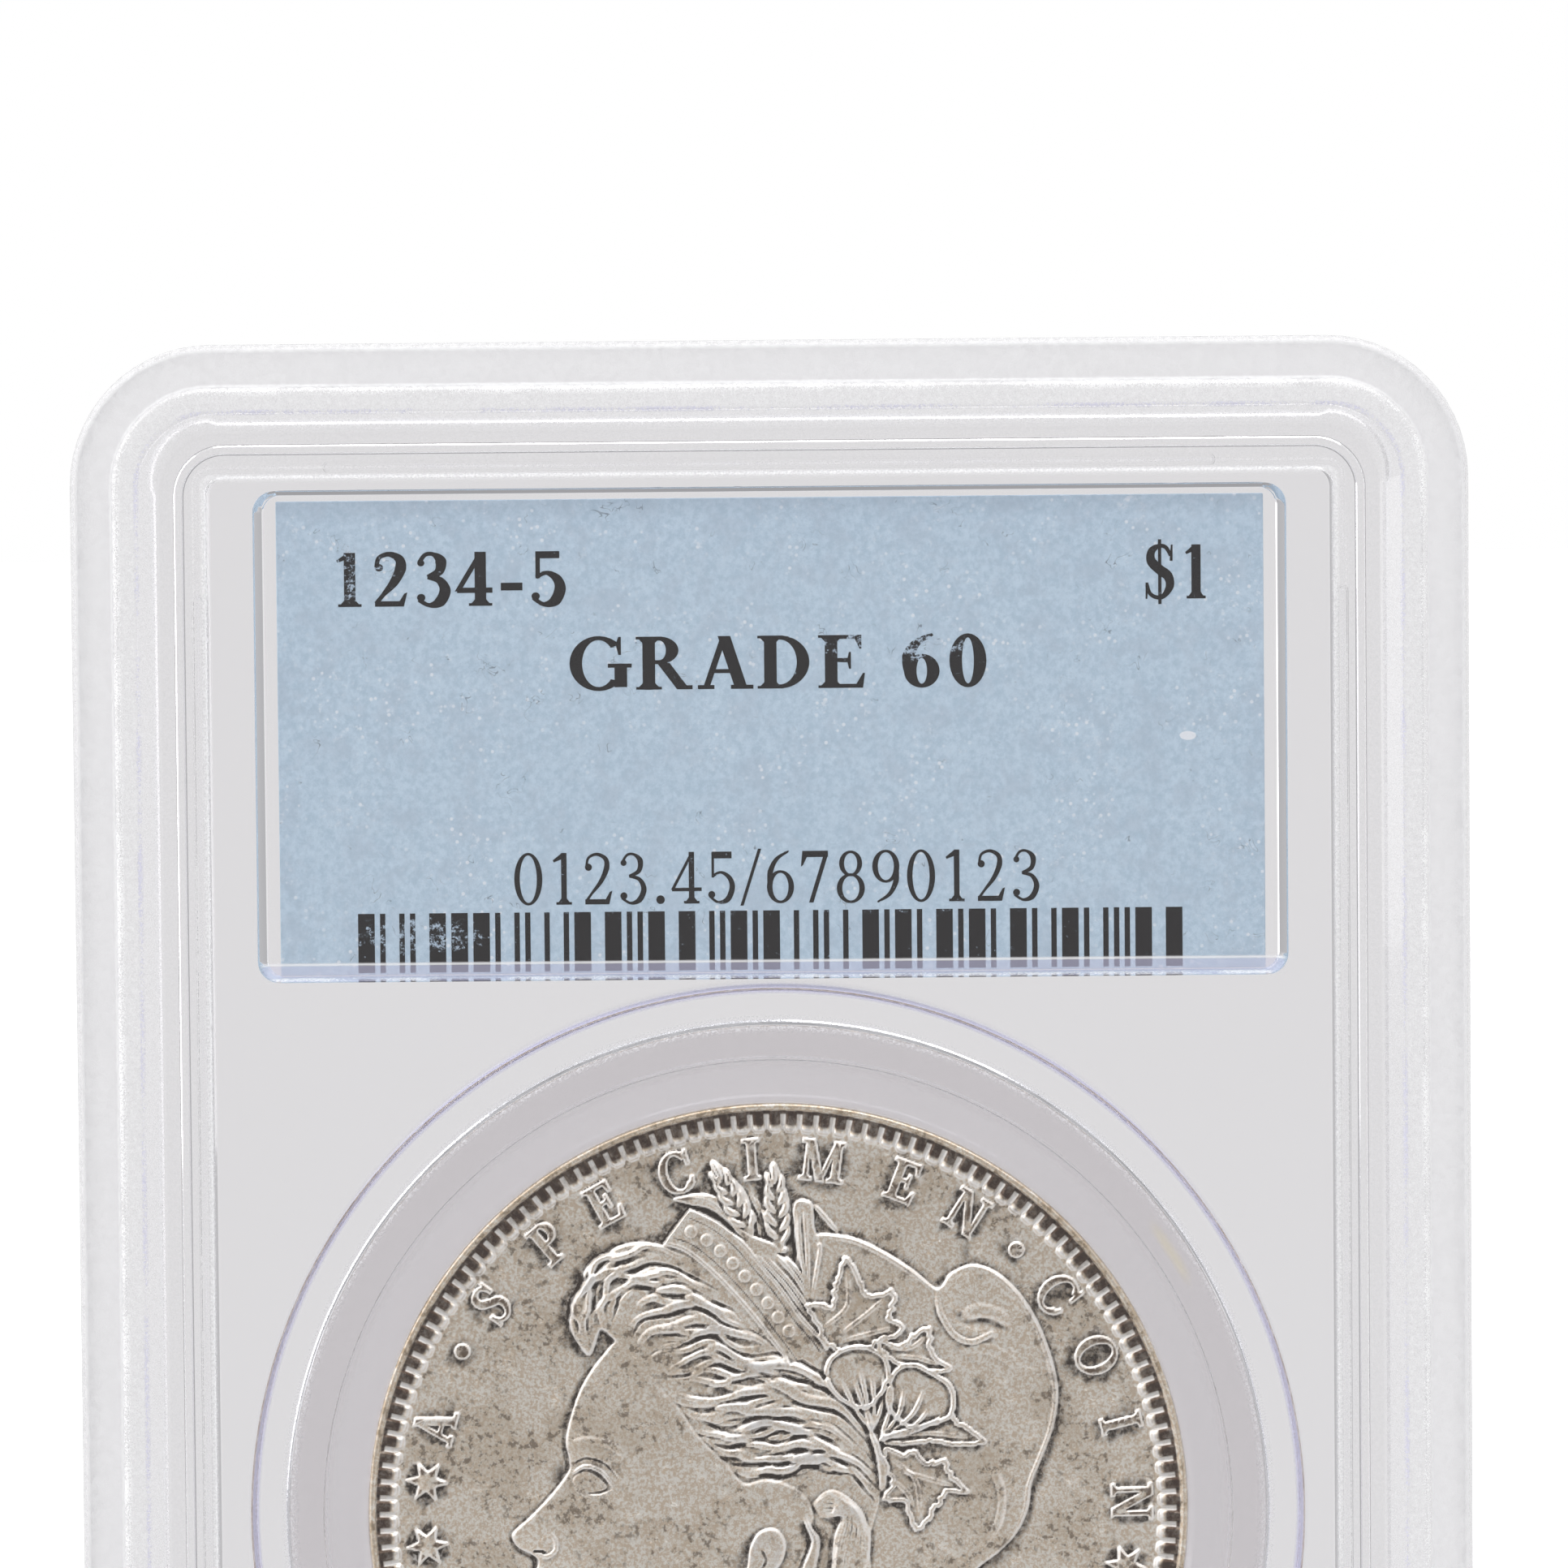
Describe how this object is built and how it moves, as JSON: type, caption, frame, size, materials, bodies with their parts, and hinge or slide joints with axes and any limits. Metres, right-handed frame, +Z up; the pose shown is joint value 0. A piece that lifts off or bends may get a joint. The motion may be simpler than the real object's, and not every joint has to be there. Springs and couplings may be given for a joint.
{
  "type": "graded coin slab",
  "caption": "Sealed clear plastic holder with stacking rims, a paper grading label and a round well holding a large silver coin in a soft clear ring.",
  "frame": {"origin": "middle of the bottom edge, at the joint between the two shells", "axes": "+Z up along the height, +X to the right seen from the front, front face towards -Y"},
  "size_m": [0.0644, 0.008, 0.0864],
  "materials": {
    "clear_front": "clear polystyrene, frosted and scuffed along the rims",
    "clear_back": "clear polystyrene",
    "soft_ring": "clear soft ring",
    "coin_silver": "old silver, satin field with toning",
    "label_paper": "matt light blue printed paper",
    "seal_foil": "patterned foil"
  },
  "bodies": {
    "case": {"front_shell": "clear_front", "back_shell": "clear_back", "label_insert": "label_paper", "hologram_seal": "seal_foil"},
    "coin_carrier": {"coin_gasket": "soft_ring", "coin": "coin_silver"}
  },
  "joints": [
    {"name": "coin_turn", "type": "hinge", "parent": "case", "child": "coin_carrier", "pos_m": [0, 0, 0.032], "axis": [0, -1, 0], "continuous": true}
  ]
}
